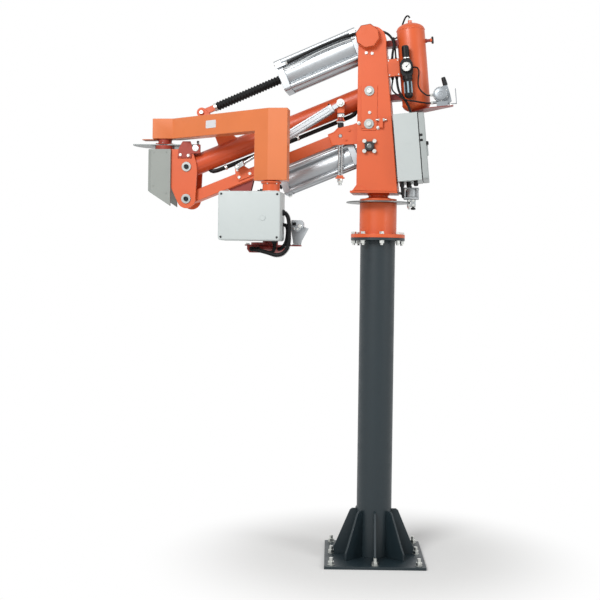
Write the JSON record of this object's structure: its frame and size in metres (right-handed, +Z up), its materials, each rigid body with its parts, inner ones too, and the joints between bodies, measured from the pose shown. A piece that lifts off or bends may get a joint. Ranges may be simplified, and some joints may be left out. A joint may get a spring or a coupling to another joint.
{
  "type": "pneumatic manipulator arm",
  "caption": "Column-mounted pneumatic manipulator: parallelogram lifting arm with air cylinders, folding forearm, swivelling tool flange, air tank and control cabinet.",
  "frame": {"origin": "centre of the base plate's underside, on the column axis", "axes": "+Z up the column; the folded arm reaches toward -X, turned 6 degrees; the forearm and control box stand on the -Y side"},
  "size_m": [1.798, 0.863, 3.0119],
  "materials": {
    "orange_paint": "gloss",
    "red_paint": "gloss",
    "dark_paint": "semi-gloss",
    "grey_paint": "satin",
    "aluminium": "anodised",
    "bare_steel": "brushed",
    "zinc_steel": "zinc plated",
    "black_rubber": "matt",
    "black_plastic": "matt"
  },
  "bodies": {
    "column": {"base_plate": "dark_paint", "column_tube": "dark_paint", "column_gussets": "dark_paint", "column_flange": "dark_paint", "slew_housing": "orange_paint", "slew_disc": "bare_steel"},
    "tower": {"slew_hub": "orange_paint", "tower_front_plate": "orange_paint", "tower_back_plate": "orange_paint", "tower_spine": "orange_paint", "tower_pins": "zinc_steel", "pivot_caps": "orange_paint", "pivot_bearings": "black_rubber", "slew_brake": "aluminium", "junction_box": "orange_paint", "air_tank": "orange_paint", "tank_brackets": "red_paint", "air_regulator": "black_plastic", "hand_valve": "aluminium", "tower_hoses": "black_rubber", "cabinet_body": "grey_paint"},
    "door": {"cabinet_door": "grey_paint"},
    "arm": {"arm_tube": "orange_paint", "arm_bracket": "orange_paint", "arm_conduit": "black_rubber", "arm_side_pin": "zinc_steel"},
    "tie": {"tie_bar": "orange_paint", "tie_bracket": "red_paint", "lock_plate": "orange_paint"},
    "link": {"steady_link": "orange_paint", "link_rods": "bare_steel"},
    "head": {"head_plates": "orange_paint", "head_pins": "zinc_steel", "head_cover": "grey_paint", "elbow_housing": "red_paint", "elbow_disc": "bare_steel", "head_top_plate": "red_paint"},
    "upper_barrel": {"upper_cylinder": "aluminium", "upper_hose": "black_rubber"},
    "upper_piston": {"upper_rod": "zinc_steel", "upper_bellows": "black_rubber"},
    "lower_barrel": {"lower_cylinder": "aluminium"},
    "lower_piston": {"lower_rod": "zinc_steel", "lower_bellows": "black_rubber"},
    "lock_barrel": {"lock_cylinder": "aluminium"},
    "lock_piston": {"lock_rod": "zinc_steel"},
    "forearm": {"forearm_beam": "orange_paint", "elbow_shaft": "red_paint"},
    "wrist": {"wrist_swivel": "orange_paint", "control_box": "grey_paint", "control_box_lid": "grey_paint", "tool_plate": "red_paint", "tool_valve": "bare_steel", "tool_hoses": "black_rubber"}
  },
  "joints": [
    {"name": "slew", "type": "hinge", "parent": "column", "child": "tower", "pos_m": [0, 0, 1.974], "axis": [0, 0, 1], "range_deg": [-170, 170]},
    {"name": "arm_lift", "type": "hinge", "parent": "tower", "child": "arm", "pos_m": [-0.04973, 0.00523, 2.57], "axis": [0.1045, 0.9945, 0], "range_deg": [-12, 47]},
    {"name": "tie_turn", "type": "hinge", "parent": "tower", "child": "tie", "pos_m": [-0.04973, 0.00523, 2.39], "axis": [0.1045, 0.9945, 0], "range_deg": [-12, 47]},
    {"name": "head_level", "type": "hinge", "parent": "arm", "child": "head", "pos_m": [-1.06865, 0.11232, 2.15606], "axis": [0.1045, 0.9945, 0], "range_deg": [-47, 12]},
    {"name": "link_level", "type": "hinge", "parent": "arm", "child": "link", "pos_m": [-0.20648, 0.0217, 2.50632], "axis": [0.1045, 0.9945, 0], "range_deg": [-47, 12]},
    {"name": "upper_barrel_turn", "type": "hinge", "parent": "tower", "child": "upper_barrel", "pos_m": [-0.06166, 0.00648, 2.865], "axis": [0.1045, 0.9945, 0], "range_deg": [-11.9, 46.4]},
    {"name": "upper_rod_slide", "type": "slide", "parent": "upper_barrel", "child": "upper_piston", "axis": [-0.9162, 0.0963, -0.3891], "range_m": [-0.2291, 0.0586], "deforming": ["upper_bellows"]},
    {"name": "lower_barrel_turn", "type": "hinge", "parent": "tower", "child": "lower_barrel", "pos_m": [-0.04475, 0.0047, 2.268], "axis": [0.1045, 0.9945, 0], "range_deg": [-12.2, 47.4]},
    {"name": "lower_rod_slide", "type": "slide", "parent": "lower_barrel", "child": "lower_piston", "axis": [-0.9206, 0.0968, -0.3782], "range_m": [-0.0238, 0.0929], "deforming": ["lower_bellows"]},
    {"name": "lock_barrel_turn", "type": "hinge", "parent": "arm", "child": "lock_barrel", "pos_m": [-0.20648, 0.0217, 2.50632], "axis": [0.1045, 0.9945, 0], "range_deg": [-3.7, 1.1]},
    {"name": "lock_rod_slide", "type": "slide", "parent": "lock_barrel", "child": "lock_piston", "axis": [-0.8465, 0.089, -0.5248], "range_m": [-0.1392, 0.0357]},
    {"name": "elbow", "type": "hinge", "parent": "head", "child": "forearm", "pos_m": [-1.20683, 0.09869, 2.31306], "axis": [0, 0, -1], "range_deg": [0, 180]},
    {"name": "wrist", "type": "hinge", "parent": "forearm", "child": "wrist", "pos_m": [-0.57499, -0.37596, 2.04606], "axis": [0, 0, 1], "range_deg": [-170, 170]},
    {"name": "cabinet_door", "type": "hinge", "parent": "tower", "child": "door", "pos_m": [0.24597, 0.13201, 2.26818], "axis": [-0.0907, 0.0095, 0.9958], "range_deg": [0, 110]}
  ],
  "couplings": [
    {"joint": "tie_turn", "follows": "arm_lift", "ratio": 1},
    {"joint": "head_level", "follows": "arm_lift", "ratio": -1},
    {"joint": "link_level", "follows": "arm_lift", "ratio": -1},
    {"joint": "upper_barrel_turn", "follows": "arm_lift", "ratio": 0.983},
    {"joint": "upper_rod_slide", "follows": "arm_lift", "m_per_rad": -0.27906},
    {"joint": "lower_barrel_turn", "follows": "arm_lift", "ratio": 1.005},
    {"joint": "lower_rod_slide", "follows": "arm_lift", "m_per_rad": 0.11302},
    {"joint": "lock_barrel_turn", "follows": "arm_lift", "ratio": -0.076},
    {"joint": "lock_rod_slide", "follows": "arm_lift", "m_per_rad": -0.16952}
  ]
}
